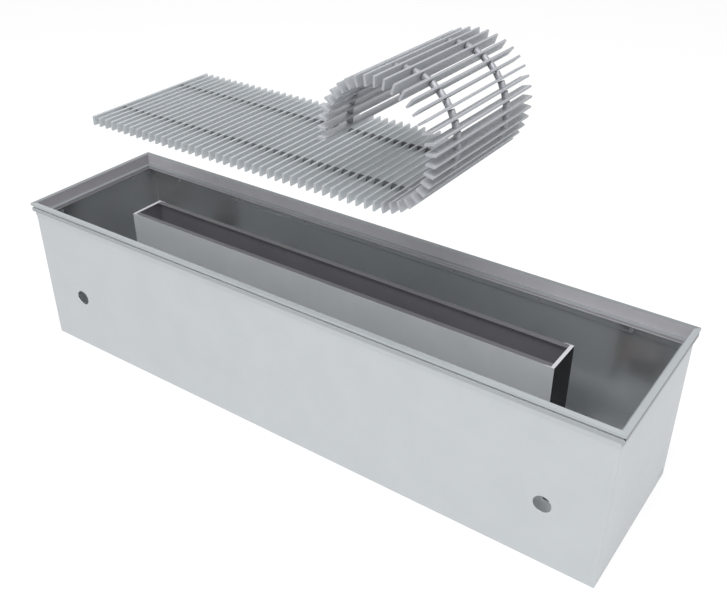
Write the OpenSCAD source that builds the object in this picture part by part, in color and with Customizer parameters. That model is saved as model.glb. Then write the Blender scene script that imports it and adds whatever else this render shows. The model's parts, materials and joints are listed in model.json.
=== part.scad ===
// Trench convector heater: a sheet-metal trough for the floor, a warm-air duct
// with a finned heating element, a mitred frame and a roll-up grille.
// The grille is drawn lifted off the frame and half rolled up.
// Millimetres, +Z up, origin on the underside at the middle of the trough.

/* [Trough] */
// Outer length of the trough
trough_l = 1000; // [1000:50:1300]
// Outer width of the trough
trough_w = 250; // [246:1:256]
// Height from the underside to the top of the frame
trough_h = 250; // [245:5:320]
// Thickness of the trough's sheet
sheet_t = 1.5; // [1.2:0.1:1.6]
// Diameter of the two pipe holes in the front wall
pipe_hole_d = 25; // [22:1:28]
// Distance of each pipe hole from its end of the trough
pipe_hole_inset = 81; // [78:1:86]
// Height of the pipe holes and of the heating tubes
pipe_z = 97; // [92:1:104]

/* [Frame] */
// How far the frame's lips stand out from the walls
lip_out = 4.6; // [3:0.2:6]
// Depth of the recess that the grille lies in
recess_d = 17.5; // [17:0.5:20]
// Width of the ledge that carries the slats' ends
ledge_w = 7; // [6.5:0.5:9]

/* [Warm-air duct] */
// Outer length of the duct
duct_l = 752; // [740:2:760]
// Outer width of the duct
duct_w = 60.5; // [58:0.5:64]
// Height of the duct's top edge above the underside
duct_top = 227.5; // [222:0.5:228]
// Height of the duct's lower edge above the underside
duct_bottom = 55; // [45:1:60]
// Thickness of the duct's sheet
duct_t = 1.2; // [1:0.1:1.4]

/* [Heating element] */
// Outer diameter of the copper tubes
tube_d = 15; // [12:1:16]
// Distance between the two tubes
tube_gap = 30; // [26:1:32]
// Distance from one fin to the next
fin_pitch = 8; // [6:0.5:12]
// Thickness of a fin
fin_t = 0.6; // [0.4:0.1:0.8]
// Height of a fin
fin_h = 70; // [50:1:72]
// Inner radius of the pipe unions' thread
union_r = 9.3; // [9:0.1:9.6]

/* [Grille] */
// Length of a slat, across the trough
slat_l = 240; // [236:0.5:241]
// Height of a slat
slat_h = 13.5; // [12:0.5:16]
// Thickness of a slat
slat_t = 3; // [1.6:0.1:3.2]
// Distance from one slat to the next
slat_pitch = 12.7; // [12.4:0.1:12.7]
// Number of slats in the flat stretch
flat_count = 40; // [30:1:40]
// Outer diameter of the spacer sleeves between the slats
sleeve_d = 9; // [6:0.5:9.5]
// Distance of each row of sleeves from the middle of a slat
sleeve_row = 61; // [50:1:80]
// Height of the flat stretch's middle while the grille is lifted off
lifted_z = 417.5; // [380:0.5:460]

/* [Hidden] */
$fn = 48;

half_l = trough_l / 2;
half_w = trough_w / 2;
skin = 0.1;                              // gap between sheets that lie together

// Frame section
frame_top = trough_h;
ledge_z = frame_top - recess_d;
lip_t = 2.8;
ledge_edge = -lip_t - ledge_w;           // the ledge's inner edge, outwards positive
ledge_t = 2.2;
rib_t = 2.4;
rib_h = 6;                               // from the ledge's top to the rib's foot
web_out = -0.4;                          // the outer groove's floor
flange_top = frame_top - 8;
flange_low = frame_top - 13.4;
skirt_in = -4.4;
skirt_out = -1.7;
skirt_low = frame_top - 36;
wall_top = flange_low - 0.5;
hem_out = 1.4;
hem_h = 6;

// Screws through the skirt into the walls
screw_z = skirt_low + 5;
screw_d = 3;
screw_depth = 1.2;                       // how far a screw bites into a wall
long_screws = [for (i = [-3 : 3]) i * (trough_l - 160) / 6];
end_screws = [-80, 80];

// End walls
end_flange = 15;
end_flange_top = skirt_low - 2;
relief_z = 12;
relief_l = 24;
relief_h = 1.2;

// Duct and element
cap_flange = 13;
cap_lip = 5;
duct_lip = 8;
plate_y = duct_w / 2 - duct_t;           // outer face of a long plate
bracket_w = 30;
bracket_t = 2;
bracket_foot = 50;
bracket_top = 95;
bracket_places = [-duct_l / 3, 0, duct_l / 3];
fin_w = 2 * (plate_y - duct_t) - 1.2;
fin_span = duct_l - 48;
fin_count = floor(fin_span / fin_pitch) + 1;
union_x = half_l - pipe_hole_inset;
block_l = 40;
block_w = 64;
block_h = 34;
block_in = union_x - block_l / 2 - 1;    // the block's inner end
tube_end = block_in + 12;
union_face = half_w - 20;                // the union's open end, distance from the middle
union_thread = 14;
vent_x = -(union_x + 4);
vent_y = -15;
vent_d = 5;
vent_depth = 9;
boss_h = 10;
block_top = pipe_z + block_h / 2;

// Grille: the roll is a chain of slats, each turned a little further than the last
roll_count = 29;
link_bend = 9.5;                         // bend at each link of the roll, degrees
lifted_x = -343.5;                       // the first slat while the grille is lifted off
lifted_y = 17;                           // the slats' middle while it is lifted off
gap = slat_pitch - slat_t;
short_sleeve = gap - 1.3;                // room for the bend at a link
sleeve_bore = 3.4;
spring_d = 3;
spring_end = 0.5;                        // how far a spring stands out of the last sleeve
roll_x = lifted_x + (flat_count - 1) * slat_pitch;

function heading(i) = i * link_bend;
function along(a) = [cos(a), sin(a)];
// Middle of link i's slat in the x-z plane; a link turns half a pitch after the slat before it
function slat_at(i) = i <= 0 ? [roll_x, lifted_z]
    : slat_at(i - 1) + slat_pitch / 2 * (along(heading(i - 1)) + along(heading(i)));
function two_digits(i) = str(i < 10 ? "0" : "", i);
function roll_name(i) = str("roll_slat_", two_digits(i));

FIXED_NODES = [
    "front_wall", "back_wall", "floor_pan", "left_end_wall", "right_end_wall",
    "front_frame_bar", "back_frame_bar", "left_frame_bar", "right_frame_bar",
    "frame_corner_keys", "frame_screws",
    "duct_front_plate", "duct_back_plate", "duct_end_caps", "duct_brackets",
    "heating_fins", "heating_tubes", "header_blocks", "pipe_unions", "vent_screw",
    "flat_slats", "flat_sleeves", "link_springs"
];

// Extrudes a section drawn in y and z along x, centred
module along_x(length) {
    rotate([90, 0, 90]) linear_extrude(length, center = true) children();
}

// Extrudes a section drawn in x and z along y, centred
module along_y(length) {
    rotate([90, 0, 0]) linear_extrude(length, center = true) children();
}

// A box given by its lowest and highest corner
module block(low, high) {
    translate(low) cube(high - low);
}

// A hole or pin along y
module rod_y(x, z, from, to, d) {
    translate([x, from, z]) rotate([-90, 0, 0]) cylinder(h = to - from, d = d);
}

// A hole or pin along x
module rod_x(y, z, from, to, d) {
    translate([from, y, z]) rotate([0, 90, 0]) cylinder(h = to - from, d = d);
}

// Blind holes for the frame's screws, in a wall whose inner face lies at half_w - sheet_t
module long_wall_screw_holes() {
    inner = half_w - sheet_t;
    for (x = long_screws)
        rod_y(x, screw_z, inner - 1, inner + screw_depth, screw_d + 0.1);
}

// A long wall at the back, with its folded hem under the frame
module long_wall() {
    hem_low = wall_top - 1.2 - hem_h;
    difference() {
        union() {
            block([-half_l, half_w - sheet_t, 0], [half_l, half_w, wall_top]);
            block([-half_l, half_w - 0.1, hem_low], [half_l, half_w + hem_out, hem_low + hem_h]);
        }
        long_wall_screw_holes();
    }
}

module front_wall() {
    color("gainsboro") difference() {
        mirror([0, 1, 0]) long_wall();
        for (x = [-union_x, union_x])
            rod_y(x, pipe_z, -half_w - 1, -half_w + sheet_t + 1, pipe_hole_d);
    }
}

module back_wall() {
    color("gainsboro") long_wall();
}

// The floor, with upturned edges that lie inside the long walls
module floor_pan() {
    edge_y = half_w - sheet_t - skin;
    color("silver") union() {
        block([-half_l, -edge_y, 0], [half_l, edge_y, sheet_t]);
        for (side = [-1, 1])
            block([-half_l + end_flange + 3, side > 0 ? edge_y - sheet_t : -edge_y, 0],
                  [half_l - end_flange - 3, side > 0 ? edge_y : -edge_y + sheet_t, 12]);
    }
}

// The right end wall, with flanges that lie inside the long walls
module end_wall() {
    side_y = half_w - sheet_t - skin;
    low = sheet_t + skin;
    hem_low = wall_top - 1.2 - hem_h;
    difference() {
        union() {
            block([half_l - sheet_t, -side_y, low], [half_l, side_y, wall_top]);
            for (side = [-1, 1])
                block([half_l - end_flange, side > 0 ? side_y - sheet_t : -side_y, low],
                      [half_l, side > 0 ? side_y : -side_y + sheet_t, end_flange_top]);
            block([half_l - end_flange, -side_y + 3, low],
                  [half_l, side_y - 3, low + sheet_t]);
            block([half_l - 0.1, -side_y, hem_low],
                  [half_l + hem_out, side_y, hem_low + hem_h]);
        }
        for (y = end_screws)
            rod_x(y, screw_z, half_l - sheet_t - 1, half_l - sheet_t + screw_depth, screw_d + 0.1);
        // relief slot beside the folded corner
        block([half_l - sheet_t - 1, side_y - relief_l - 3, relief_z],
              [half_l + 1, side_y - 3, relief_z + relief_h]);
    }
}

module right_end_wall() {
    color("lightgray") end_wall();
}

module left_end_wall() {
    color("lightgray") mirror([1, 0, 0]) end_wall();
}

// Section of a frame bar: x outwards from the wall's outer face, y upwards
module frame_section() {
    polygon([
        [lip_out, frame_top], [-lip_t, frame_top], [-lip_t, ledge_z], [ledge_edge, ledge_z],
        [ledge_edge, ledge_z - 1.6], [ledge_edge + 1.2, ledge_z - 1.6],
        [ledge_edge + 1.2, ledge_z - 3.6], [ledge_edge, ledge_z - 3.6],
        [ledge_edge, ledge_z - rib_h], [ledge_edge + rib_t, ledge_z - rib_h],
        [ledge_edge + rib_t, ledge_z - ledge_t], [skirt_in, ledge_z - ledge_t],
        [skirt_in, skirt_low], [skirt_out, skirt_low], [skirt_out, flange_low],
        [lip_out - 0.8, flange_low], [lip_out - 0.8, flange_top],
        [web_out, flange_top + 0.5], [web_out, frame_top - 4.6], [lip_out, frame_top - 4]
    ]);
}

// The space of one mitred bar, between the 45 degree lines through the trough's corners
module mitre(long) {
    out = 20;
    plan = long
        ? [[-half_l - out, half_w + out], [half_l + out, half_w + out],
           [half_l - out, half_w - out], [-half_l + out, half_w - out]]
        : [[half_l + out, half_w + out], [half_l + out, -half_w - out],
           [half_l - out, -half_w + out], [half_l - out, half_w - out]];
    translate([0, 0, skirt_low - 1]) linear_extrude(frame_top - skirt_low + 2) polygon(plan);
}

// The back bar; the front one is its mirror image
module long_frame_bar() {
    difference() {
        intersection() {
            along_x(trough_l + 40) translate([half_w, 0]) frame_section();
            mitre(true);
        }
        for (x = long_screws)
            rod_y(x, screw_z, half_w - 8, half_w, screw_d + 0.4);
    }
}

// The right bar; the left one is its mirror image
module end_frame_bar() {
    difference() {
        intersection() {
            along_y(trough_w + 40) translate([half_l, 0]) frame_section();
            mitre(false);
        }
        for (y = end_screws)
            rod_x(y, screw_z, half_l - 8, half_l, screw_d + 0.4);
    }
}

module back_frame_bar() {
    color("darkgray") long_frame_bar();
}

module front_frame_bar() {
    color("darkgray") mirror([0, 1, 0]) long_frame_bar();
}

module right_frame_bar() {
    color("darkgray") end_frame_bar();
}

module left_frame_bar() {
    color("darkgray") mirror([1, 0, 0]) end_frame_bar();
}

// Angled keys pressed into the channel under the ledge, one in each corner
module frame_corner_keys() {
    key_l = 40;
    outer = -skirt_in + skin;
    inner = -ledge_edge - rib_t - skin;
    low = ledge_z - rib_h + skin;
    high = ledge_z - ledge_t - skin;
    color("gray") for (sx = [0, 1], sy = [0, 1])
        mirror([sx, 0, 0]) mirror([0, sy, 0]) union() {
            block([half_l - key_l, half_w - inner, low], [half_l - outer, half_w - outer, high]);
            block([half_l - inner, half_w - key_l, low], [half_l - outer, half_w - outer, high]);
        }
}

// A pan-head screw along +x, its head's underside at 0
module screw() {
    head_h = 2;
    reach = -skirt_in - sheet_t + screw_depth - skin;
    difference() {
        union() {
            rod_x(0, 0, 0, reach, screw_d);
            rod_x(0, 0, -head_h, 0, 2 * screw_d);
        }
        for (turn = [0, 90])
            rotate([turn, 0, 0]) block([-head_h - 1, -1.8, -0.35], [-head_h + 1, 1.8, 0.35]);
    }
}

module frame_screws() {
    color("dimgray") union() {
        for (x = long_screws, side = [90, -90])
            translate([x, sign(side) * (half_w + skirt_in), screw_z]) rotate([0, 0, side]) screw();
        for (y = end_screws, side = [0, 180])
            translate([(side == 0 ? 1 : -1) * (half_l + skirt_in), y, screw_z])
                rotate([0, 0, side]) screw();
    }
}

// A long plate of the duct at the back, with a lip folded inwards along its top
module duct_long_plate() {
    web_l = duct_l / 2 - duct_t - skin;
    lip_l = duct_l / 2 - cap_lip - skin;
    union() {
        block([-web_l, plate_y - duct_t, duct_bottom], [web_l, plate_y, duct_top - duct_t - skin]);
        block([-lip_l, plate_y - duct_lip, duct_top - duct_t], [lip_l, plate_y, duct_top]);
        block([-lip_l, plate_y - duct_t, duct_bottom], [lip_l, plate_y, duct_top]);
    }
}

module duct_back_plate() {
    color("slategray") duct_long_plate();
}

module duct_front_plate() {
    color("slategray") mirror([0, 1, 0]) duct_long_plate();
}

// The right cap: an end plate with side flanges over the long plates and a lip on top
module duct_end_cap() {
    half = duct_w / 2;
    x_out = duct_l / 2;
    x_in = x_out - cap_flange;
    difference() {
        union() {
            block([x_out - duct_t, -half, duct_bottom], [x_out, half, duct_top]);
            for (side = [-1, 1])
                block([x_in, side > 0 ? half - duct_t : -half, duct_bottom],
                      [x_out, side > 0 ? half : -half + duct_t, duct_top]);
            block([x_out - cap_lip, -half, duct_top - duct_t], [x_out, half, duct_top]);
        }
        for (side = [-1, 1])
            rod_x(side * tube_gap / 2, pipe_z, x_out - duct_t - 1, x_out + 1, tube_d + 0.4);
    }
}

module duct_end_caps() {
    color("silver") for (side = [0, 1]) mirror([side, 0, 0]) duct_end_cap();
}

// Brackets that stand on the floor and hold the duct off it
module duct_brackets() {
    inner = plate_y;
    color("gray") for (x = bracket_places) translate([x, 0, 0]) union() {
        block([-bracket_w / 2, -bracket_foot, sheet_t],
              [bracket_w / 2, bracket_foot, sheet_t + bracket_t]);
        for (side = [0, 1]) mirror([0, side, 0])
            block([-bracket_w / 2, inner, sheet_t], [bracket_w / 2, inner + bracket_t, bracket_top]);
    }
}

module heating_fins() {
    first = -(fin_count - 1) * fin_pitch / 2;
    color("lightsteelblue") for (i = [0 : fin_count - 1])
        translate([first + i * fin_pitch, 0, 0]) difference() {
            block([-fin_t / 2, -fin_w / 2, pipe_z - fin_h / 2],
                  [fin_t / 2, fin_w / 2, pipe_z + fin_h / 2]);
            for (side = [-1, 1])
                rod_x(side * tube_gap / 2, pipe_z, -1, 1, tube_d);
        }
}

module heating_tubes() {
    color("peru") for (side = [-1, 1]) difference() {
        rod_x(side * tube_gap / 2, pipe_z, -tube_end, tube_end, tube_d);
        rod_x(side * tube_gap / 2, pipe_z, -tube_end - 1, tube_end + 1, tube_d - 2);
    }
}

// The right header: it joins the tubes' ends to the pipe union
module header_block() {
    half = block_w / 2;
    difference() {
        block([block_in, -half, pipe_z - block_h / 2], [block_in + block_l, half, block_top]);
        for (side = [-1, 1])
            rod_x(side * tube_gap / 2, pipe_z, block_in - 1, tube_end + 0.5, tube_d + skin);
        rod_y(union_x, pipe_z, -half - 1, half - 8, tube_d);
    }
}

module header_blocks() {
    color("goldenrod") union() {
        header_block();
        difference() {
            union() {
                mirror([1, 0, 0]) header_block();
                translate([vent_x, vent_y, block_top - 1]) cylinder(h = boss_h + 1, d = 13, $fn = 6);
            }
            translate([vent_x, vent_y, block_top + boss_h - vent_depth])
                cylinder(h = vent_depth + 1, d = vent_d + 0.1);
        }
    }
}

// A union: tail pipe, hexagon and a threaded mouth towards the pipe hole
module pipe_union(x) {
    tail = block_w / 2;
    difference() {
        union() {
            rod_y(x, pipe_z, -union_face + 22, -tail, 20);
            translate([x, -union_face, pipe_z]) rotate([-90, 0, 0])
                cylinder(h = 24, d = 27, $fn = 6);
        }
        rod_y(x, pipe_z, -union_face - 1, -union_face + union_thread, 2 * union_r);
        rod_y(x, pipe_z, -union_face, -tail + 1, tube_d);
    }
}

module pipe_unions() {
    color("darkgoldenrod") for (x = [-union_x, union_x]) pipe_union(x);
}

// Air vent screw in the left header's boss
module vent_screw() {
    top = block_top + boss_h;
    color("lightgray") translate([vent_x, vent_y, 0]) difference() {
        union() {
            translate([0, 0, top - vent_depth + 0.5]) cylinder(h = vent_depth, d = vent_d);
            translate([0, 0, top + 0.4]) cylinder(h = 3, d = 8);
        }
        block([-5, -0.6, top + 2], [5, 0.6, top + 4]);
    }
}

// One slat about its own middle, with bores where the two link springs pass
module slat() {
    t = slat_t / 2;
    h = slat_h / 2;
    edge = 0.45;
    difference() {
        along_y(slat_l) polygon([
            [-t, -h + edge], [-t + edge, -h], [t - edge, -h], [t, -h + edge],
            [t, h - edge], [t - edge, h], [-t + edge, h], [-t, h - edge]
        ]);
        for (row = [-1, 1]) rod_x(row * sleeve_row, 0, -t - 1, t + 1, sleeve_bore);
    }
}

// Two spacer sleeves on the side of a slat that faces the next one
module sleeves(length) {
    for (row = [-1, 1]) difference() {
        rod_x(row * sleeve_row, 0, slat_t / 2, slat_t / 2 + length, sleeve_d);
        rod_x(row * sleeve_row, 0, slat_t / 2 - 1, slat_t / 2 + length + 1, sleeve_bore);
    }
}

module flat_slats() {
    color("silver") for (i = [0 : flat_count - 1])
        translate([lifted_x + i * slat_pitch, lifted_y, lifted_z]) slat();
}

module flat_sleeves() {
    color("darkgray") for (i = [0 : flat_count - 1])
        translate([lifted_x + i * slat_pitch, lifted_y, lifted_z])
            sleeves(i < flat_count - 1 ? gap : short_sleeve);
}

// A stretch of both springs, from one place along x to another
module springs(from, to) {
    for (row = [-1, 1]) rod_x(row * sleeve_row, 0, from, to, spring_d);
}

// The springs' straight stretch, from the first slat to the roll
module link_springs() {
    color("dimgray") translate([0, lifted_y, lifted_z])
        springs(lifted_x - slat_t / 2, roll_x + slat_t / 2 + short_sleeve + spring_end);
}

// Slat i of the roll with the sleeves and springs that reach towards the next slat
module roll_slat(i) {
    place = slat_at(i);
    last = i == roll_count;
    color("silver") translate([place[0], lifted_y, place[1]]) rotate([0, -heading(i), 0]) {
        union() {
            slat();
            if (!last) sleeves(short_sleeve);
        }
        springs(-slat_t / 2, last ? slat_t / 2 : slat_t / 2 + short_sleeve + spring_end);
    }
}

front_wall();
back_wall();
floor_pan();
left_end_wall();
right_end_wall();
front_frame_bar();
back_frame_bar();
left_frame_bar();
right_frame_bar();
frame_corner_keys();
frame_screws();
duct_front_plate();
duct_back_plate();
duct_end_caps();
duct_brackets();
heating_fins();
heating_tubes();
header_blocks();
pipe_unions();
vent_screw();
flat_slats();
flat_sleeves();
link_springs();
for (i = [1 : roll_count])
    roll_slat(i);
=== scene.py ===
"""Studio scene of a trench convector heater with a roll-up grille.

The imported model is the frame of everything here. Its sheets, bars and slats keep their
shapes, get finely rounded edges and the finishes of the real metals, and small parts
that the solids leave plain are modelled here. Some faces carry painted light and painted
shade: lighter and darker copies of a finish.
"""

import json
import logging
import math
from collections.abc import Callable
from dataclasses import dataclass, field
from enum import Enum

import bmesh
import bpy
from mathutils import Matrix, Vector

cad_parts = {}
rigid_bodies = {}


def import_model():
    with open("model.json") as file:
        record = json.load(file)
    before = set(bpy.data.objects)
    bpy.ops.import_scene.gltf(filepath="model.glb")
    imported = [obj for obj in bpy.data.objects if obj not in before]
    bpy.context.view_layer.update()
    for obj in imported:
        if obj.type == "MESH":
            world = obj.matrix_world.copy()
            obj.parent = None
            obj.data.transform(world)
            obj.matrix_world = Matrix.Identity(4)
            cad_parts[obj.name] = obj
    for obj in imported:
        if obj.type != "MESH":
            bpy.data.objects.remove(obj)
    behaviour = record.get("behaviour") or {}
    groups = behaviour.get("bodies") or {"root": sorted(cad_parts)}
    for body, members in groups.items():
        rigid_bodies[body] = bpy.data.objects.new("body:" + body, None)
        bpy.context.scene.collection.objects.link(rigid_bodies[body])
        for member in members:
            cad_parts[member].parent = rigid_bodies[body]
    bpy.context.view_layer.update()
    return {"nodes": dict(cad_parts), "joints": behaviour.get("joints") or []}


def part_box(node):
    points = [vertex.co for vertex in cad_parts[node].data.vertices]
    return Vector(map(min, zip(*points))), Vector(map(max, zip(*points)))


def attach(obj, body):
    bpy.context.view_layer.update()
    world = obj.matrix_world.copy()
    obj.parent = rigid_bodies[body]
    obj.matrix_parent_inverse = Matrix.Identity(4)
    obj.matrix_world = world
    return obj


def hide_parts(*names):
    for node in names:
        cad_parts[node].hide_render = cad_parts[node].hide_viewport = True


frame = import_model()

CAD_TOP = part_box("front_frame_bar")[1].z
FRAME_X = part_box("right_frame_bar")[1].x
FRAME_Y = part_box("back_frame_bar")[1].y
LOG = logging.getLogger("trench_heater")
MM = 0.001
LINKS = sum(name.startswith("roll_slat_") for name in frame["nodes"])

# Roundings: what counts as one point, as one flat face, as a sharp edge and as smooth
WELD_MM = 0.001
FLAT_DEG = 0.5
SHARP_DEG = 40
SMOOTH_DEG = 32
# Share of a normal along an axis that counts as facing that way, and as square on to it
FACING = 0.5
SQUARE_ON = 0.9
# Sockets of a colour mix, whose names repeat: both colours and the result
MIX_FIRST = 6
MIX_SECOND = 7
MIX_RESULT = 2
# Values between which noise mostly lies, and the strength of the bumps made from it
NOISE_LOW = 0.3
NOISE_HIGH = 0.7
BUMP_STRENGTH = 0.35

Colour = tuple[float, float, float, float]
FaceTest = Callable[[Vector, Vector], bool]


def linear(hex_colour: str) -> Colour:
    """Turns an sRGB hex colour into linear light.

    Args:
        hex_colour: Six hex digits after a hash sign.

    Returns:
        Red, green, blue and full opacity.
    """
    parts = [int(hex_colour[i : i + 2], 16) / 255 for i in (1, 3, 5)]
    light = [c / 12.92 if c <= 0.04045 else ((c + 0.055) / 1.055) ** 2.4 for c in parts]
    return light[0], light[1], light[2], 1.0


def add_node(
    tree: bpy.types.NodeTree,
    kind: str,
    settings: dict[str, object] | None = None,
    values: dict[int | str, object] | None = None,
    links: dict[int | str, bpy.types.NodeSocket] | None = None,
) -> bpy.types.Node:
    """Adds one node with its settings, socket values and incoming links.

    Args:
        tree: Node tree that gets the node.
        kind: Node type, such as ShaderNodeTexNoise.
        settings: Attributes of the node.
        values: Values of input sockets, by name or index.
        links: Output sockets to link to inputs, by name or index.

    Returns:
        The new node.
    """
    node = tree.nodes.new(kind)
    for key, value in (settings or {}).items():
        setattr(node, key, value)
    for key, value in (values or {}).items():
        node.inputs[key].default_value = value
    for key, socket in (links or {}).items():
        tree.links.new(socket, node.inputs[key])
    return node


class Grain(Enum):
    """Direction of a metal's fine lines."""

    ALONG_X = (1.0, 30.0, 30.0)
    ALONG_Y = (30.0, 1.0, 30.0)
    ALONG_Z = (30.0, 30.0, 1.0)
    NONE = (1.0, 1.0, 1.0)


@dataclass(frozen=True)
class MetalFinish:
    """A bare or anodised metal: two close shades in soft clouds, fine lines and small dents.

    Attributes:
        name: What the metal is and how its surface was made.
        colour: Main colour.
        shade: Second colour of the clouds.
        roughness: Mean roughness.
        spread: How far the roughness wanders.
        cloud_mm: Size of the clouds.
        line_mm: Distance between the fine lines.
        bump_mm: Depth of the lines.
        grain: Direction of the lines.
        metallic: Share of metal in the surface; zinc that has dulled is part oxide.
        specular: Strength of the gloss where the surface isn't metal.
    """

    name: str
    colour: str
    shade: str
    roughness: float
    spread: float = 0.08
    cloud_mm: float = 40.0
    line_mm: float = 0.8
    bump_mm: float = 0.02
    grain: Grain = Grain.NONE
    metallic: float = 1.0
    specular: float = 0.5

    def pattern(self, tree: bpy.types.NodeTree) -> bpy.types.NodeSocket:
        """Returns the cloud factor that mixes the two shades."""
        place = add_node(tree, "ShaderNodeTexCoord")
        clouds = add_node(
            tree,
            "ShaderNodeTexNoise",
            values={"Scale": 1 / (self.cloud_mm * MM), "Detail": 3.0, "Roughness": 0.55},
            links={"Vector": place.outputs["Object"]},
        )
        return clouds.outputs["Fac"]

    def lines(self, tree: bpy.types.NodeTree) -> bpy.types.NodeSocket:
        """Returns the height of the fine lines, from 0 to 1."""
        place = add_node(tree, "ShaderNodeTexCoord")
        stretch = add_node(
            tree,
            "ShaderNodeMapping",
            values={"Scale": Vector(self.grain.value)},
            links={"Vector": place.outputs["Object"]},
        )
        widest = max(self.grain.value)
        noise = add_node(
            tree,
            "ShaderNodeTexNoise",
            values={"Scale": 1 / (self.line_mm * MM * widest), "Detail": 2.0},
            links={"Vector": stretch.outputs["Vector"]},
        )
        return noise.outputs["Fac"]

    def make(self) -> bpy.types.Material:
        """Builds the material, or returns the one already built."""
        found = bpy.data.materials.get(self.name)
        if found:
            return found
        made = bpy.data.materials.new(self.name)
        made.use_nodes = True
        tree = made.node_tree
        surface = tree.nodes["Principled BSDF"]
        clouds = self.pattern(tree)
        tint = add_node(
            tree,
            "ShaderNodeMix",
            settings={"data_type": "RGBA"},
            values={MIX_FIRST: linear(self.colour), MIX_SECOND: linear(self.shade)},
            links={0: clouds},
        )
        tree.links.new(tint.outputs[MIX_RESULT], surface.inputs["Base Color"])
        lines = self.lines(tree)
        gloss = add_node(
            tree,
            "ShaderNodeMapRange",
            values={
                "From Min": NOISE_LOW,
                "From Max": NOISE_HIGH,
                "To Min": self.roughness - self.spread,
                "To Max": self.roughness + self.spread,
            },
            links={"Value": lines},
        )
        tree.links.new(gloss.outputs["Result"], surface.inputs["Roughness"])
        bump = add_node(
            tree,
            "ShaderNodeBump",
            values={"Strength": BUMP_STRENGTH, "Distance": self.bump_mm * MM},
            links={"Height": lines},
        )
        tree.links.new(bump.outputs["Normal"], surface.inputs["Normal"])
        surface.inputs["Metallic"].default_value = self.metallic
        surface.inputs["Specular IOR Level"].default_value = self.specular
        made.diffuse_color = linear(self.colour)
        return made


# Hot-dip galvanised sheet, passivated: even pale grey, soft blurred reflections
GALVANISED = MetalFinish(
    "galvanised_sheet_passivated", "#b9bdc0", "#b1b5b8", 0.42, cloud_mm=60, line_mm=1.5,
    bump_mm=0.03, metallic=0.6,
)
# The same sheet on the trough's inner faces, painted lighter than outside: painted light
# over the trough's shade. It mirrors the duct softly
LIT_INNER_SHEET = MetalFinish(
    "galvanised_sheet_inside_painted_light", "#dbddde", "#d1d3d4", 0.22, spread=0.01, cloud_mm=140,
    line_mm=4.0, bump_mm=0.002, metallic=0.88,
)
# The same sheet folded into the duct: painted paler as painted light in the trough's shade,
# with duller reflections
LIT_DUCT_SHEET = MetalFinish(
    "galvanised_duct_sheet_painted_light", "#cacdd0", "#bdc1c4", 0.42, cloud_mm=45, line_mm=1.5,
    bump_mm=0.02, metallic=0.35,
)
# Inner faces of the duct, painted darker than its outer faces
DARKER_DUCT_INSIDE = MetalFinish(
    "duct_sheet_darker_inside", "#929196", "#838187", 0.45, cloud_mm=50, line_mm=1.5,
    bump_mm=0.02, metallic=0.5,
)
# Folded upper lips of the duct's long plates, painted dark: painted shade that merges with
# the duct's inside
SHADED_DUCT_LIP = MetalFinish(
    "duct_plate_lip_painted_shade", "#5f5e62", "#575659", 0.5, cloud_mm=30, line_mm=1.0, metallic=0.5,
)
# End caps: dark enamel on the sheet, almost matt
CAP_ENAMEL = MetalFinish(
    "dark_enamelled_cap", "#151516", "#101011", 0.4, cloud_mm=25, line_mm=0.8,
    bump_mm=0.01, metallic=0.0, specular=0.15,
)
# Bright folded lips of the end caps
CAP_LIP = MetalFinish(
    "bright_cap_lip", "#b8b8bb", "#aeaeb1", 0.35, cloud_mm=12, line_mm=0.6, metallic=0.3,
)
# Extruded aluminium, satin anodised: fine draw lines along each bar
FRAME_LONG = MetalFinish(
    "satin_anodised_extrusion_long", "#a9aeb1", "#a1a6a9", 0.52, grain=Grain.ALONG_X,
    line_mm=0.5, metallic=0.6,
)
FRAME_END = MetalFinish(
    "satin_anodised_extrusion_end", "#a5aaad", "#9da2a5", 0.52, grain=Grain.ALONG_Y,
    line_mm=0.5, metallic=0.6,
)
# The far bar and the left bar, a little darker than the others: painted shade on the same
# extrusion
SHADED_FRAME_FAR = MetalFinish(
    "anodised_extrusion_far_painted_shade", "#84888b", "#7c8083", 0.52, grain=Grain.ALONG_X,
    line_mm=0.5, metallic=0.6,
)
SHADED_FRAME_LEFT = MetalFinish(
    "anodised_extrusion_left_painted_shade", "#8a8e91", "#828689", 0.52, grain=Grain.ALONG_Y,
    line_mm=0.5, metallic=0.6,
)
# Faces of the end bars that look into the trough: duller, with a violet cast
END_INSIDE = MetalFinish(
    "matt_anodised_end_inner_face", "#a3a0a6", "#98959b", 0.6, cloud_mm=30, line_mm=0.6,
    metallic=0.4,
)
# The same faces of the long bars, less worn
LONG_INSIDE = MetalFinish(
    "matt_anodised_long_inner_face", "#aeadb2", "#a3a2a7", 0.7, cloud_mm=30, line_mm=0.6,
    metallic=0.2,
)
# The groove in the end bars' outer side, painted dark: painted shade in the groove
SHADED_GROOVE = MetalFinish(
    "groove_painted_shade", "#3a3c3e", "#2f3133", 0.75, cloud_mm=10, line_mm=0.6, metallic=0.1,
)
# The same groove in the long bars, painted pale: painted light over the groove's shade
LIT_GROOVE = MetalFinish(
    "anodised_groove_painted_light", "#b6b9bb", "#adb0b2", 0.6, cloud_mm=10, line_mm=0.6, metallic=0.2,
)
# The lower lip's outer edge, painted darker: painted shade under the upper lip
SHADED_LOW_LIP = MetalFinish(
    "lower_lip_painted_shade", "#9da1a4", "#95999c", 0.5, grain=Grain.ALONG_X, line_mm=0.5,
    metallic=0.5,
)
# The ledge that carries the slats' ends, scuffed by them
LEDGE = MetalFinish(
    "scuffed_anodised_ledge", "#8f9396", "#84888b", 0.6, cloud_mm=12, line_mm=0.5,
    metallic=0.4,
)
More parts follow.
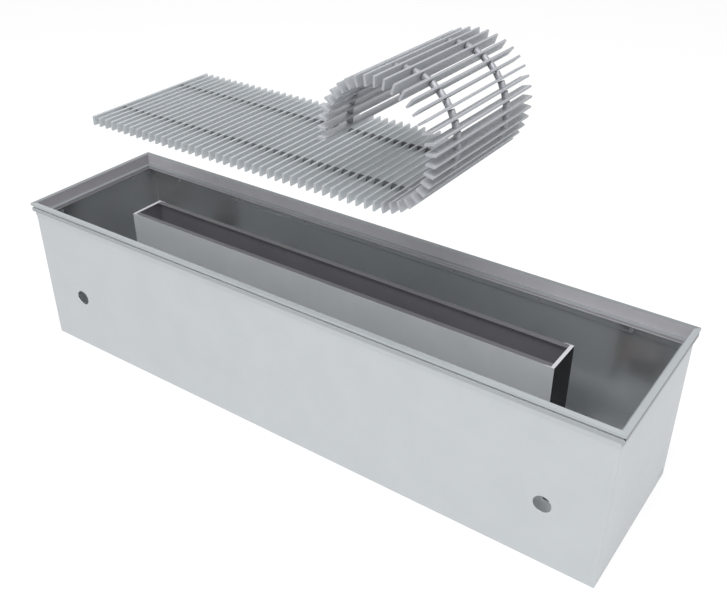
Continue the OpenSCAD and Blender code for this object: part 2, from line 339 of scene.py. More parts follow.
# Slats are cut from the same kind of bar; their sides carry painted light and their edges
# painted shade, so the sides are a little brighter than the edges
LIT_SLAT_SIDE = MetalFinish(
    "satin_anodised_slat_side_painted_light", "#c2c7ca", "#babec2", 0.45, grain=Grain.ALONG_Y,
    line_mm=0.5, bump_mm=0.015, metallic=0.4,
)
SHADED_SLAT_EDGE = MetalFinish(
    "satin_anodised_slat_edge_painted_shade", "#a2a6a9", "#9a9ea1", 0.5, grain=Grain.ALONG_Y,
    line_mm=0.5, bump_mm=0.015, metallic=0.45,
)
# The roll's slats, painted darker than the flat ones as painted shade; their sides painted
# lighter than their edges, as on the flat slats
SHADED_ROLL_SIDE = MetalFinish(
    "handled_anodised_slat_side", "#b2b5b9", "#a9acb0", 0.48, grain=Grain.ALONG_Y,
    line_mm=0.5, bump_mm=0.015, metallic=0.45,
)
SHADED_ROLL_EDGE = MetalFinish(
    "handled_anodised_slat_edge", "#9d9fa5", "#95979c", 0.5, grain=Grain.ALONG_Y,
    line_mm=0.5, bump_mm=0.015, metallic=0.45,
)
# Turned spacer sleeves of the roll: a pale grey anodised skin
SLEEVE = MetalFinish(
    "grey_anodised_sleeve", "#929398", "#87888d", 0.5, cloud_mm=8, line_mm=0.4,
    grain=Grain.ALONG_Y, metallic=0.4,
)
# The same sleeves deep between the flat slats, painted dark: painted shade between the slats
SHADED_SLEEVE = MetalFinish(
    "anodised_sleeve_painted_shade", "#3e4044", "#323438", 0.7, cloud_mm=8, line_mm=0.4,
    grain=Grain.ALONG_Y, metallic=0.1,
)
# The springs that run through the sleeves
SPRING = MetalFinish(
    "oiled_spring_steel", "#6e7174", "#5f6265", 0.35, cloud_mm=5, line_mm=0.4,
)
# Corner keys and duct brackets
ZINC_FIXING = MetalFinish(
    "zinc_plated_steel", "#b4b8bb", "#9fa3a6", 0.32, cloud_mm=6, line_mm=0.6,
)
# The frame's screws: the same zinc, rougher and painted a little darker as painted shade,
# so they hardly show against the wall
DULL_SHADED_FIXING = MetalFinish(
    "dulled_zinc_screw_painted_shade", "#a4a8ab", "#989c9f", 0.5, cloud_mm=3, line_mm=0.4, metallic=0.6,
)
# Fins: thin aluminium as rolled
FIN = MetalFinish(
    "mill_finish_fin_foil", "#c6cacd", "#b8bcc0", 0.28, cloud_mm=18, line_mm=0.7,
    grain=Grain.ALONG_Z,
)
# Drawn copper, browned by heat
COPPER = MetalFinish(
    "browned_copper_tube", "#6f584f", "#5d4941", 0.4, cloud_mm=14, line_mm=0.6,
    grain=Grain.ALONG_X,
)
# The air vent's screw
BRASS = MetalFinish(
    "turned_brass", "#c3a866", "#b0934f", 0.3, cloud_mm=12, line_mm=0.5,
    grain=Grain.ALONG_Y,
)
# Header castings: brass gone dark and matt in warm air
CAST_BRASS = MetalFinish(
    "browned_cast_brass", "#474346", "#3b383a", 0.55, cloud_mm=8, line_mm=0.9,
    bump_mm=0.06, metallic=0.6,
)
# Unions: brass plated with nickel, which has dulled
NICKEL = MetalFinish(
    "nickel_plated_brass", "#96999b", "#85888a", 0.38, cloud_mm=10, line_mm=0.5,
    grain=Grain.ALONG_Y,
)


def deselect() -> None:
    """Leaves nothing selected."""
    for thing in bpy.context.view_layer.objects:
        thing.select_set(False)


def activate(piece: bpy.types.Object) -> None:
    """Selects one object alone and makes it the active one."""
    deselect()
    piece.select_set(True)
    bpy.context.view_layer.objects.active = piece


def dress(node: str, *finishes: MetalFinish) -> bpy.types.Object:
    """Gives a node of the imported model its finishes.

    Args:
        node: Name of the node.
        finishes: Finishes for its material slots, in order.

    Returns:
        The node's object.
    """
    piece = frame["nodes"][node]
    piece.data.materials.clear()
    for finish in finishes:
        piece.data.materials.append(finish.make())
    return piece


def mark(piece: bpy.types.Object, slot: int, test: FaceTest) -> None:
    """Puts another of a node's finishes on some of its faces.

    Args:
        piece: Object whose faces are tried.
        slot: Number of the finish's material slot.
        test: Says from a face's middle and normal, in metres, whether it takes the finish.
    """
    for face in piece.data.polygons:
        if test(face.center, face.normal):
            face.material_index = slot


def soften(piece: bpy.types.Object, width_mm: float, steps: int = 2) -> None:
    """Rounds a node's sharp edges with modifiers; its mesh stays as it is.

    Args:
        piece: Object to soften.
        width_mm: Width of the rounding.
        steps: Faces across each rounding.
    """
    weld = piece.modifiers.new("joined_facets", "WELD")
    weld.merge_threshold = WELD_MM * MM
    flat = piece.modifiers.new("flat_faces", "DECIMATE")
    flat.decimate_type = "DISSOLVE"
    flat.angle_limit = math.radians(FLAT_DEG)
    edge = piece.modifiers.new("rounded_edges", "BEVEL")
    edge.width = width_mm * MM
    edge.segments = steps
    edge.limit_method = "ANGLE"
    edge.angle_limit = math.radians(SHARP_DEG)
    edge.harden_normals = True


def looks_out(place: Vector, normal: Vector) -> bool:
    """Says whether a face looks away from the trough's middle."""
    return place.x * normal.x + place.y * normal.y > 0


def looks_in(place: Vector, normal: Vector) -> bool:
    """Says whether an upright face looks towards the trough's inside."""
    return place.x * normal.x + place.y * normal.y < 0 and abs(normal.z) < FACING


def faces_up(_place: Vector, normal: Vector) -> bool:
    """Says whether a face lies level on top of a piece."""
    return normal.z > SQUARE_ON


def faces_down(_place: Vector, normal: Vector) -> bool:
    """Says whether a face lies level under a piece."""
    return normal.z < -SQUARE_ON


def pick(piece: bpy.types.Object, test: FaceTest) -> None:
    """Selects, in edit mode, the faces of a piece that pass a test, and no others."""
    mesh = bmesh.from_edit_mesh(piece.data)
    for face in mesh.faces:
        face.select_set(False)
    for face in mesh.faces:
        if test(face.calc_center_median(), face.normal):
            face.select_set(True)
    bmesh.update_edit_mesh(piece.data)


def add_cylinder(
    name: str, sides: int, radius: float, low: float, high: float, turn: float = 0.0
) -> bpy.types.Object:
    """Adds an upright cylinder over the origin and makes it the active object.

    Args:
        name: Name of the object.
        sides: Number of its sides.
        radius: Radius over its corners, in metres.
        low: Height of its lower end, in metres.
        high: Height of its upper end, in metres.
        turn: Turn about its own line, in degrees.

    Returns:
        The new object.
    """
    deselect()
    bpy.ops.mesh.primitive_cylinder_add(
        vertices=sides, radius=radius, depth=high - low, location=(0, 0, (low + high) / 2),
        rotation=(0, 0, math.radians(turn)),
    )
    piece = bpy.context.active_object
    piece.name = name
    bpy.ops.object.transform_apply(location=True, rotation=True, scale=True)
    return piece


class Combine(Enum):
    """What happens to a piece when another is combined with it."""

    JOIN = "UNION"
    CARVE = "DIFFERENCE"


def combine(piece: bpy.types.Object, other: bpy.types.Object, how: Combine) -> None:
    """Joins one solid to another or carves it out, and removes it.

    Args:
        piece: Object that is changed.
        other: Object that is taken in or carved out.
        how: Which of the two.
    """
    activate(piece)
    step = piece.modifiers.new("combined", "BOOLEAN")
    step.operation = how.value
    step.solver = "EXACT"
    step.object = other
    bpy.ops.object.modifier_apply(modifier=step.name)
    bpy.data.objects.remove(other, do_unlink=True)


def place_copy(
    master: bpy.types.Object, name: str, place: Matrix, node: str
) -> bpy.types.Object:
    """Sets a copy with its own mesh in place of a node's solids.

    Args:
        master: Object modelled over the origin.
        name: Name of the copy.
        place: Where the copy stands, in metres.
        node: Node whose solids it stands for.

    Returns:
        The copy, at the origin, with its place in its mesh.
    """
    piece = master.copy()
    piece.data = master.data.copy()
    piece.name = name
    piece.data.name = name
    piece.data.transform(place)
    bpy.context.scene.collection.objects.link(piece)
    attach(piece, "trough")
    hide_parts(node)
    return piece


@dataclass
class PanScrews:
    """Pan-head screws with a cross recess, from inside the skirt into the walls.

    Attributes:
        head_mm: Radius of the head.
        height_mm: Height of the head.
        round_mm: Rounding of the head's top.
        shank_mm: Radius of the shank.
        reach_mm: Length of the shank, which ends inside the wall's sheet.
        tip_mm: Length of the tapered tip.
        slot_mm: Half the length and half the width of an arm of the recess.
        depth_mm: Depth of the recess.
        clear_mm: How far the recess's cutter stands out of the head.
        taper: Width left at the narrow end of the tip and of the recess.
        round_sides: Faces round the head and the shank.
        step_m: Distance between the screws of a long bar.
        beside: Number of a long bar's screws on each side of its middle one.
        end_m: Distance of an end bar's screws from the middle.
        long_m: Screws closer than this to the middle of the length are in long bars.
        short_m: Screws further than this from it are in end bars.
        node: Node that the screws stand for.
    """

    head_mm: float = 3.0
    height_mm: float = 2.0
    round_mm: float = 0.9
    shank_mm: float = 1.5
    reach_mm: float = 4.0
    tip_mm: float = 0.5
    slot_mm: tuple[float, float] = (1.8, 0.35)
    depth_mm: float = 1.0
    clear_mm: float = 0.5
    taper: float = 0.6
    round_sides: int = 32
    step_m: float = 0.14
    beside: int = 3
    end_m: float = 0.08
    long_m: float = 0.42
    short_m: float = 0.45
    node: str = "frame_screws"

    def model(self) -> bpy.types.Object:
        """Models one screw, its head upwards and its underside at the origin.

        Returns:
            The screw.
        """
        head, top = self.head_mm * MM, self.height_mm * MM
        screw = add_cylinder("pan_screw", self.round_sides, head, 0, top)
        bpy.ops.object.mode_set(mode="EDIT")
        pick(screw, faces_up)
        bpy.ops.mesh.bevel(offset=self.round_mm * MM, segments=4, profile=0.6, affect="EDGES")
        pick(screw, faces_down)
        bpy.ops.mesh.inset(thickness=(self.head_mm - self.shank_mm) * MM)
        for length_mm in (self.reach_mm - self.tip_mm, self.tip_mm):
            bpy.ops.mesh.extrude_region_move(
                TRANSFORM_OT_translate={"value": (0, 0, -length_mm * MM)}
            )
        bpy.ops.transform.resize(value=(self.taper, self.taper, 1.0))
        bpy.ops.object.mode_set(mode="OBJECT")
        for turn in (0, 90):
            combine(screw, self.blade(turn), Combine.CARVE)
        # The screws take a darker copy of the zinc: painted shade
        screw.data.materials.append(DULL_SHADED_FIXING.make())
        bpy.ops.object.shade_smooth_by_angle(angle=math.radians(SMOOTH_DEG))
        return screw

    def blade(self, turn: float) -> bpy.types.Object:
        """Models one tapered arm of the cross recess.

        Args:
            turn: Turn about the screw's line, in degrees.

        Returns:
            The arm, ready to be carved out.
        """
        deselect()
        length, width = (2 * side * MM for side in self.slot_mm)
        low = (self.height_mm - self.depth_mm) * MM
        high = (self.height_mm + self.clear_mm) * MM
        bpy.ops.mesh.primitive_cube_add(size=1, location=(0, 0, (low + high) / 2))
        arm = bpy.context.active_object
        arm.scale = (length, width, high - low)
        arm.rotation_euler = (0, 0, math.radians(turn))
        bpy.ops.object.transform_apply(location=True, rotation=True, scale=True)
        bpy.ops.object.mode_set(mode="EDIT")
        pick(arm, faces_down)
        bpy.ops.transform.resize(value=(self.taper, self.taper, 1.0))
        bpy.ops.object.mode_set(mode="OBJECT")
        return arm

    def places(self) -> list[Matrix]:
        """Returns where the screws stand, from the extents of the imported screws."""
        low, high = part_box(self.node)
        solids = frame["nodes"][self.node].data.vertices
        middle = (low.z + high.z) / 2
        height = self.height_mm * MM
        inner_y = min(abs(v.co.y) for v in solids if abs(v.co.x) < self.long_m) + height
        inner_x = min(abs(v.co.x) for v in solids if abs(v.co.x) > self.short_m) + height
        spots = []
        for step in range(-self.beside, self.beside + 1):
            for side in (-1, 1):
                spots.append((step * self.step_m, side * inner_y, side * 90.0))
        for along in (-self.end_m, self.end_m):
            for side in (-1, 1):
                spots.append((side * inner_x, along, 0.0 if side > 0 else 180.0))
        return [
            Matrix.Translation((x, y, middle))
            @ Matrix.Rotation(math.radians(turn), 4, "Z")
            @ Matrix.Rotation(math.radians(-90), 4, "Y")
            for x, y, turn in spots
        ]

    def build(self) -> None:
        """Models one screw and sets a copy at each place."""
        master = self.model()
        places = self.places()
        for number, place in enumerate(places, 1):
            place_copy(master, f"frame_screw_{number:02d}", place, self.node)
        bpy.data.objects.remove(master, do_unlink=True)
        LOG.info("%d screws with cross recesses", len(places))


@dataclass
class PipeUnions:
    """Union nuts in line with the pipe holes, on short tails into the headers.

    Attributes:
        flats: Number of the nut's flats.
        flats_turn: Turn of the nut about its line, in degrees.
        corner_mm: Radius of the nut over its corners.
        nut_mm: Length of the nut.
        chamfer_mm: Chamfer of the nut's ends.
        tail_mm: Radius of the tail.
        tail_bore_mm: Radius of the bore through the tail.
        overlap_mm: How far the tail starts inside the nut.
        collar_mm: How far the collar stands out from the tail.
        collar_length_mm: Length of the collar.
        collar_inset_mm: How far the collar starts inside the nut.
        collar_round_mm: Rounding of the collar.
        clear_mm: How far a cutter stands out of the union.
        thread_mm: Radius of the thread at its roots.
        thread_depth_mm: Depth of the thread.
        pitch_mm: Distance between its ridges.
        ridge: Radius at a ridge, as a part of the radius at the roots.
        round_sides: Faces round a turned surface.
        node: Node that the unions stand for.
    """

    flats: int = 6
    flats_turn: float = 30.0
    corner_mm: float = 13.5
    nut_mm: float = 24.0
    chamfer_mm: float = 0.9
    tail_mm: float = 10.0
    tail_bore_mm: float = 7.5
    overlap_mm: float = 2.0
    collar_mm: float = 1.2
    collar_length_mm: float = 3.0
    collar_inset_mm: float = 0.5
    collar_round_mm: float = 0.8
    clear_mm: float = 1.0
    thread_mm: float = 9.3
    thread_depth_mm: float = 14.0
    pitch_mm: float = 2.0
    ridge: float = 0.94
    round_sides: int = 40
    node: str = "pipe_unions"

    def model(self, length: float) -> bpy.types.Object:
        """Models one union upright, its open end at the origin.

        Args:
            length: Length over all, in metres.

        Returns:
            The union.
        """
        corner, top = self.corner_mm * MM, self.nut_mm * MM
        nut = add_cylinder("union", self.flats, corner, 0, top, self.flats_turn)
        bpy.ops.object.mode_set(mode="EDIT")
        pick(nut, lambda _place, normal: abs(normal.z) > SQUARE_ON)
        bpy.ops.mesh.bevel(offset=self.chamfer_mm * MM, segments=2, affect="EDGES")
        bpy.ops.object.mode_set(mode="OBJECT")
        low = (self.nut_mm - self.overlap_mm) * MM
        tail = add_cylinder("tail", self.round_sides, self.tail_mm * MM, low, length)
        combine(nut, tail, Combine.JOIN)
        combine(nut, self.collar(), Combine.JOIN)
        out, radius = self.clear_mm * MM, self.tail_bore_mm * MM
        bore = add_cylinder("bore", self.round_sides, radius, -out, length + out)
        combine(nut, bore, Combine.CARVE)
        combine(nut, self.thread(), Combine.CARVE)
        nut.data.materials.append(NICKEL.make())
        bpy.ops.object.shade_smooth_by_angle(angle=math.radians(SMOOTH_DEG))
        return nut

    def collar(self) -> bpy.types.Object:
        """Models the rounded collar behind the nut."""
        low = (self.nut_mm - self.collar_inset_mm) * MM
        high = low + self.collar_length_mm * MM
        radius = (self.tail_mm + self.collar_mm) * MM
        ring = add_cylinder("collar", self.round_sides, radius, low, high)
        bpy.ops.object.mode_set(mode="EDIT")
        pick(ring, faces_up)
        bpy.ops.mesh.bevel(offset=self.collar_round_mm * MM, segments=3, affect="EDGES")
        bpy.ops.object.mode_set(mode="OBJECT")
        return ring

    def thread(self) -> bpy.types.Object:
        """Models the threaded bore's space: a cylinder with ridges, drawn as rings."""
        radius = self.thread_mm * MM
        bore = add_cylinder("thread", self.round_sides, radius, -self.clear_mm * MM, 0)
        bpy.ops.object.mode_set(mode="EDIT")
        pick(bore, faces_up)
        half = self.pitch_mm / 2 * MM
        for _turn in range(int(self.thread_depth_mm / self.pitch_mm)):
            for factor in (self.ridge, 1 / self.ridge):
                bpy.ops.mesh.extrude_region_move(
                    TRANSFORM_OT_translate={"value": (0, 0, half)}
                )
                bpy.ops.transform.resize(value=(factor, factor, 1.0))
        bpy.ops.object.mode_set(mode="OBJECT")
        return bore

    def build(self) -> None:
        """Models one union and sets a copy at each pipe hole."""
        low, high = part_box(self.node)
        master = self.model(high.y - low.y)
        middle_x = high.x - self.corner_mm * MM
        for number, x in enumerate((-middle_x, middle_x), 1):
            place = Matrix.Translation((x, low.y, (low.z + high.z) / 2))
            turned = place @ Matrix.Rotation(math.radians(-90), 4, "X")
            place_copy(master, f"pipe_union_{number}", turned, self.node)
        bpy.data.objects.remove(master, do_unlink=True)
        LOG.info("2 pipe unions")


@dataclass
class Trough:
    """The trough: two long walls, two end walls and the floor."""

    edge_mm: float = 0.35
    walls: tuple[str, ...] = (
        "front_wall", "back_wall", "left_end_wall", "right_end_wall", "floor_pan",
    )

    def build(self) -> None:
        """Dresses the sheets, glossier and painted lighter on their inner faces as painted
        light, and rounds their cut edges.
        """
        for node in self.walls:
            piece = dress(node, GALVANISED, LIT_INNER_SHEET)
            # Inner faces take the lighter sheet: painted light in the trough's shade
            mark(piece, 1, looks_in)
            soften(piece, self.edge_mm)
            LOG.info("sheet %s", node)


@dataclass
class FrameBars:
    """The mitred frame with its keys and screws.

    Depths are measured down from the frame's top, insets inwards from its outline.

    Attributes:
        edge_mm: Rounding of the edges.
        groove_mm: Depths between which the outer groove lies.
        groove_inset_mm: Faces further in than this are the groove's wall.
        sloping: Part of a normal that makes a face the groove's roof or floor.
        low_lip_mm: Depth that the lower lip reaches.
        lip_inset_mm: Faces further out than this are the lip's edge.
        ledge_top_mm: Level faces deeper than this are the ledge.
        ledge_mm: Depth at which the skirt begins.
        skirt_inset_mm: Faces further in than this are the ledge's ribs.
    """

    edge_mm: float = 0.3
    groove_mm: tuple[float, float] = (4.0, 8.1)
    groove_inset_mm: float = 3.0
    sloping: float = 0.3
    low_lip_mm: float = 14.0
    lip_inset_mm: float = 1.0
    ledge_top_mm: float = 5.0
    ledge_mm: float = 18.0
    skirt_inset_mm: float = 11.0

    def build(self) -> None:
        """Dresses the bars and their keys, and models their screws."""
        # The far and left bars take shaded copies of the extrusion: painted shade
        for node, outside, inside, groove in (
            ("front_frame_bar", FRAME_LONG, LONG_INSIDE, LIT_GROOVE),
            ("back_frame_bar", SHADED_FRAME_FAR, LONG_INSIDE, LIT_GROOVE),
            ("left_frame_bar", SHADED_FRAME_LEFT, END_INSIDE, SHADED_GROOVE),
            ("right_frame_bar", FRAME_END, END_INSIDE, SHADED_GROOVE),
        ):
            self.bar(node, outside, inside, groove)
        soften(dress("frame_corner_keys", ZINC_FIXING), self.edge_mm)
        LOG.info("frame bars and keys")
        PanScrews().build()

    def bar(
        self, node: str, outside: MetalFinish, inside: MetalFinish, groove: MetalFinish
    ) -> None:
        """Dresses one bar.

        Args:
            node: Name of its node.
            outside: Finish of its top and outer faces.
            inside: Finish of its upright faces that look into the trough.
            groove: Finish of the groove in its outer side.
        """
        piece = dress(node, outside, inside, LEDGE, groove, SHADED_LOW_LIP, LIT_INNER_SHEET)
        mark(piece, 1, looks_in)
        mark(piece, 2, self.on_ledge)
        # Groove faces: painted light on the long bars, painted shade on the end bars
        mark(piece, 3, self.in_groove)
        # The lower lip's outer edge: painted shade
        mark(piece, 4, self.on_low_lip)
        # The skirt behind the ribs takes the lighter inner sheet: painted light over the
        # shade under the ribs
        mark(piece, 5, self.on_skirt)
        soften(piece, self.edge_mm)

    def in_groove(self, place: Vector, normal: Vector) -> bool:
        """Says whether a face lies in the outer groove."""
        roof, floor = (mm * MM for mm in self.groove_mm)
        upright = looks_out(place, normal) and abs(normal.z) < FACING
        wall = upright and self.is_inside(place, self.groove_inset_mm)
        return roof < CAD_TOP - place.z < floor and (wall or abs(normal.z) > self.sloping)

    def on_low_lip(self, place: Vector, normal: Vector) -> bool:
        """Says whether a face is the outer edge of the lower lip."""
        low, high = self.low_lip_mm * MM, self.groove_mm[1] * MM
        edge = looks_out(place, normal) and not self.is_inside(place, self.lip_inset_mm)
        return high < CAD_TOP - place.z < low and edge

    def on_skirt(self, place: Vector, normal: Vector) -> bool:
        """Says whether a face is the skirt's inner side, behind the ledge's ribs."""
        low = place.z < CAD_TOP - self.ledge_mm * MM
        rib = self.is_inside(place, self.skirt_inset_mm)
        return low and looks_in(place, normal) and not rib

    def is_inside(self, place: Vector, by_mm: float) -> bool:
        """Says whether a place is at least some way inside the frame's outline."""
        return min(FRAME_X - abs(place.x), FRAME_Y - abs(place.y)) > by_mm * MM

    def on_ledge(self, place: Vector, normal: Vector) -> bool:
        """Says whether a face is on top of the ledge."""
        return normal.z > FACING and place.z < CAD_TOP - self.ledge_top_mm * MM


@dataclass
class Duct:
    """The warm-air duct and its brackets.

    Attributes:
        edge_mm: Rounding of the edges.
        lip_mm: Height above which level faces are the folded lips.
        flange_mm: Distance from the middle beyond which the caps' side flanges lie.
    """

    edge_mm: float = 0.35
    lip_mm: float = 226.0
    flange_mm: float = 28.5

    def build(self) -> None:
        """Dresses the plates, caps and brackets."""
        for node in ("duct_front_plate", "duct_back_plate"):
            # Outer faces of the plates: painted light
            piece = dress(node, LIT_DUCT_SHEET, DARKER_DUCT_INSIDE, SHADED_DUCT_LIP)
            # Inner faces: painted darker than the outer faces
            mark(piece, 1, lambda place, normal: place.y * normal.y < 0)
            # Lips: painted dark as painted shade
            mark(piece, 2, self.on_lip)
            soften(piece, self.edge_mm)
        caps = dress("duct_end_caps", CAP_ENAMEL, DARKER_DUCT_INSIDE, CAP_LIP, LIT_DUCT_SHEET)
        # Caps' inner faces: painted darker, like the plates' inner faces
        mark(caps, 1, lambda place, normal: place.x * normal.x < 0)
        mark(caps, 3, self.on_flange)
        mark(caps, 2, self.on_lip)
        soften(caps, self.edge_mm)
        soften(dress("duct_brackets", ZINC_FIXING), self.edge_mm)
        LOG.info("duct and brackets")

    def on_flange(self, place: Vector, normal: Vector) -> bool:
        """Says whether a face is an outer face or free edge of a cap's side flange."""
        outer = place.y * normal.y > 0 and abs(normal.y) > FACING
        edge = place.x * normal.x < 0 and abs(place.y) > self.flange_mm * MM
        return outer or edge

    def on_lip(self, place: Vector, normal: Vector) -> bool:
        """Says whether a face is on top of a folded lip."""
        return place.z > self.lip_mm * MM and normal.z > FACING


@dataclass
class Element:
    """The finned element with its headers, unions and air vent."""

    edge_mm: float = 0.4

    def build(self) -> None:
        """Dresses the element."""
        dress("heating_fins", FIN)
        dress("heating_tubes", COPPER)
        soften(dress("header_blocks", CAST_BRASS), self.edge_mm)
        soften(dress("vent_screw", BRASS), self.edge_mm)
        LOG.info("element and headers")
        PipeUnions().build()


@dataclass
class Grille:
    """The roll-up grille: slats on two rows of spacer sleeves, threaded on two springs.

    Attributes:
        slat_mm: Thickness of a slat.
        spring_mm: Thickness of a spring.
        row_mm: Distance of each row of sleeves from the slats' middle.
        edge_mm: Rounding of the edges.
        slack_mm: Faces this close to a slat's side or a spring's skin still belong to it.
        end_mm: Faces this close to a link's end are a slat's end.
    """

    slat_mm: float = 3.0
    spring_mm: float = 3.0
    row_mm: float = 61.0
    edge_mm: float = 0.15
    slack_mm: float = 0.05
    end_mm: float = 0.01

    def build(self) -> None:
        """Dresses the flat stretch and the links of the roll."""
        flat = dress("flat_slats", LIT_SLAT_SIDE, SHADED_SLAT_EDGE)
        # Sides painted light; tops, bottoms and ends painted shade
        mark(flat, 1, lambda _place, normal: abs(normal.x) < FACING)
        soften(flat, self.edge_mm, 1)
        # Sleeves between the flat slats: painted dark as painted shade
        dress("flat_sleeves", SHADED_SLEEVE)
        dress("link_springs", SPRING)
        heading = 0.0
        for number in range(1, LINKS + 1):
            heading += joint_bend(number)
            self.link(f"roll_slat_{number:02d}", heading)
        LOG.info("grille of %d links", LINKS)

    def link(self, node: str, heading: float) -> None:
        """Dresses one link: slat, two sleeves and their springs.

        Args:
            node: Name of its node.
            heading: Its turn from the flat stretch, in radians.
        """
        # The roll's slats carry painted shade, their sides painted lighter than their edges
        piece = dress(node, SHADED_ROLL_SIDE, SLEEVE, SPRING, SHADED_ROLL_EDGE)
        along = Vector((math.cos(heading), 0, math.sin(heading)))
        low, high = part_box(node)
        ends = [
            face for face in piece.data.polygons
            if abs(face.center.y - low.y) < self.end_mm * MM
        ]
        area = sum(face.area for face in ends)
        middle = sum((face.center * face.area for face in ends), Vector()) / area
        centre_y = (low.y + high.y) / 2

        def sleeve(place: Vector, _normal: Vector) -> bool:
            """Says whether a face lies beyond the slat, where the sleeves are."""
            return (place - middle).dot(along) > (self.slat_mm / 2 + self.slack_mm) * MM

        def spring(place: Vector, _normal: Vector) -> bool:
            """Says whether a face lies within a spring's thickness of its row."""
            off = place - middle
            side = abs(place.y - centre_y) - self.row_mm * MM
            rise = (off - along * off.dot(along)).dot(Vector((-along.z, 0, along.x)))
            return math.hypot(side, rise) < (self.spring_mm / 2 + self.slack_mm) * MM

        mark(piece, 3, lambda _place, normal: abs(normal.dot(along)) < FACING)
        mark(piece, 1, sleeve)
        mark(piece, 2, spring)
        soften(piece, self.edge_mm, 1)


def joint_bend(number: int) -> float:
    """Returns the bend at rest of a link of the roll, in radians."""
    name = f"roll_link_{number:02d}_turn"
    joint = next(j for j in frame["joints"] if j["name"] == name)
    return math.radians(joint["range_deg"][1])


@dataclass
class Lamp:
    """One soft lamp of the studio.

    Attributes:
        name: What it does.
        place: Where it hangs, in metres.
        aim: The point that it faces.
        size: Side of its square face, in metres.
        power: Its power in watts.
    """

    name: str
    place: tuple[float, float, float]
    aim: tuple[float, float, float]
    size: float
    power: float

    def build(self) -> None:
        """Hangs the lamp."""
        data = bpy.data.lights.new(self.name, "AREA")
        data.shape = "SQUARE"
        data.size = self.size
        data.energy = self.power
        lamp = bpy.data.objects.new(self.name, data)
        lamp.location = self.place
        turn = (Vector(self.aim) - Vector(self.place)).to_track_quat("-Z", "Y")
        lamp.rotation_euler = turn.to_euler()
        bpy.context.scene.collection.objects.link(lamp)


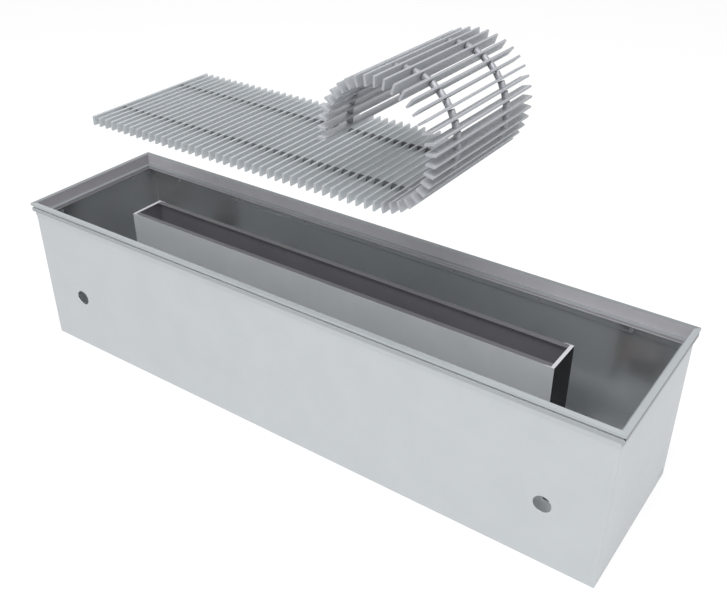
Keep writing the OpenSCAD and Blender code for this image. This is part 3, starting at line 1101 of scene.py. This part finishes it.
@dataclass
class Studio:
    """Floor, background, lamps and camera.

    The camera's place, turn and lens come from a fit to the photographed trough's corners.

    Attributes:
        camera_place: Where the camera stands, in metres.
        camera_pitch: Its turn up from straight down, in degrees.
        camera_turn: Its turn about the upright axis, in degrees.
        lens_mm: Focal length.
        sensor_mm: Width of the sensor.
        clip: Nearest and furthest distance that the camera sees, in metres.
        floor_half: Half the side of the floor, in metres.
        floor_drop: How far the floor lies under the heater, in metres.
        floor_colour: Colour of the floor.
        floor_roughness: Roughness of the floor.
        floor_glow: Share of plain white in the floor where the camera sees it.
        ambient: Strength of the light from all round.
        lamps: The lamps.
    """

    camera_place: tuple[float, float, float] = (0.7026, -0.9138, 0.8978)
    camera_pitch: float = 58.0
    camera_turn: float = 34.89
    lens_mm: float = 44.9
    sensor_mm: float = 36.0
    clip: tuple[float, float] = (0.01, 60.0)
    floor_half: float = 8.0
    floor_drop: float = 0.0005
    floor_colour: str = "#f4f4f4"
    floor_roughness: float = 0.9
    floor_glow: float = 0.75
    ambient: float = 0.8
    lamps: list[Lamp] = field(
        default_factory=lambda: [
            Lamp("key_softbox", (0.3, -1.2, 2.8), (0, 0, 0.2), 2.0, 90),
            Lamp("fill_softbox", (2.8, -0.6, 1.6), (0, 0, 0.15), 2.0, 11),
        ]
    )

    def background(self) -> None:
        """White to the camera and in reflections, a plain grey light elsewhere."""
        world = bpy.data.worlds.new("studio")
        bpy.context.scene.world = world
        world.use_nodes = True
        tree = world.node_tree
        tree.nodes.clear()
        path = add_node(tree, "ShaderNodeLightPath")
        seen = self.seen(tree, path)
        white = add_node(
            tree, "ShaderNodeBackground", values={"Color": (1, 1, 1, 1), "Strength": 1.0}
        )
        soft = add_node(
            tree, "ShaderNodeBackground",
            values={"Color": (1, 1, 1, 1), "Strength": self.ambient},
        )
        mix = add_node(
            tree, "ShaderNodeMixShader",
            links={0: seen, 1: soft.outputs[0], 2: white.outputs[0]},
        )
        add_node(tree, "ShaderNodeOutputWorld", links={"Surface": mix.outputs[0]})

    def seen(self, tree: bpy.types.NodeTree, path: bpy.types.Node) -> bpy.types.NodeSocket:
        """Returns 1 for rays from the camera and in reflections or glass, else 0."""
        first = add_node(
            tree, "ShaderNodeMath", settings={"operation": "MAXIMUM"},
            links={0: path.outputs["Is Camera Ray"], 1: path.outputs["Is Glossy Ray"]},
        )
        both = add_node(
            tree, "ShaderNodeMath", settings={"operation": "MAXIMUM"},
            links={0: first.outputs[0], 1: path.outputs["Is Transmission Ray"]},
        )
        return both.outputs[0]

    def floor(self) -> None:
        """A plain pale floor that keeps a soft shadow."""
        deselect()
        low = (0, 0, -self.floor_drop)
        bpy.ops.mesh.primitive_plane_add(size=2 * self.floor_half, location=low)
        ground = bpy.context.active_object
        ground.name = "studio_floor"
        paper = bpy.data.materials.new("matt_white_floor")
        paper.use_nodes = True
        tree = paper.node_tree
        surface = tree.nodes["Principled BSDF"]
        surface.inputs["Base Color"].default_value = linear(self.floor_colour)
        surface.inputs["Roughness"].default_value = self.floor_roughness
        surface.inputs["Specular IOR Level"].default_value = 0.0
        path = add_node(tree, "ShaderNodeLightPath")
        share = add_node(
            tree, "ShaderNodeMath", settings={"operation": "MULTIPLY"},
            values={1: self.floor_glow}, links={0: self.seen(tree, path)},
        )
        white = add_node(
            tree, "ShaderNodeEmission", values={"Color": (1, 1, 1, 1), "Strength": 1.0}
        )
        mix = add_node(
            tree, "ShaderNodeMixShader",
            links={0: share.outputs[0], 1: surface.outputs[0], 2: white.outputs[0]},
        )
        tree.links.new(mix.outputs[0], tree.nodes["Material Output"].inputs["Surface"])
        ground.data.materials.append(paper)

    def camera(self) -> None:
        """Sets the camera at the photograph's place and angle."""
        data = bpy.data.cameras.new("photo_camera")
        data.lens = self.lens_mm
        data.sensor_width = self.sensor_mm
        data.clip_start, data.clip_end = self.clip
        camera = bpy.data.objects.new("photo_camera", data)
        camera.location = self.camera_place
        pitch, turn = math.radians(self.camera_pitch), math.radians(self.camera_turn)
        camera.rotation_euler = (pitch, 0, turn)
        bpy.context.scene.collection.objects.link(camera)
        bpy.context.scene.camera = camera

    def build(self) -> None:
        """Sets up the whole studio."""
        bpy.context.scene.view_settings.view_transform = "Standard"
        self.background()
        self.floor()
        self.camera()
        for lamp in self.lamps:
            lamp.build()
        LOG.info("studio with %d lamps", len(self.lamps))


def main() -> None:
    """Builds the studio and dresses the heater."""
    logging.basicConfig(level=logging.INFO, format="%(message)s")
    Studio().build()
    for part in (Trough(), FrameBars(), Duct(), Element(), Grille()):
        part.build()


if __name__ == "__main__":
    main()
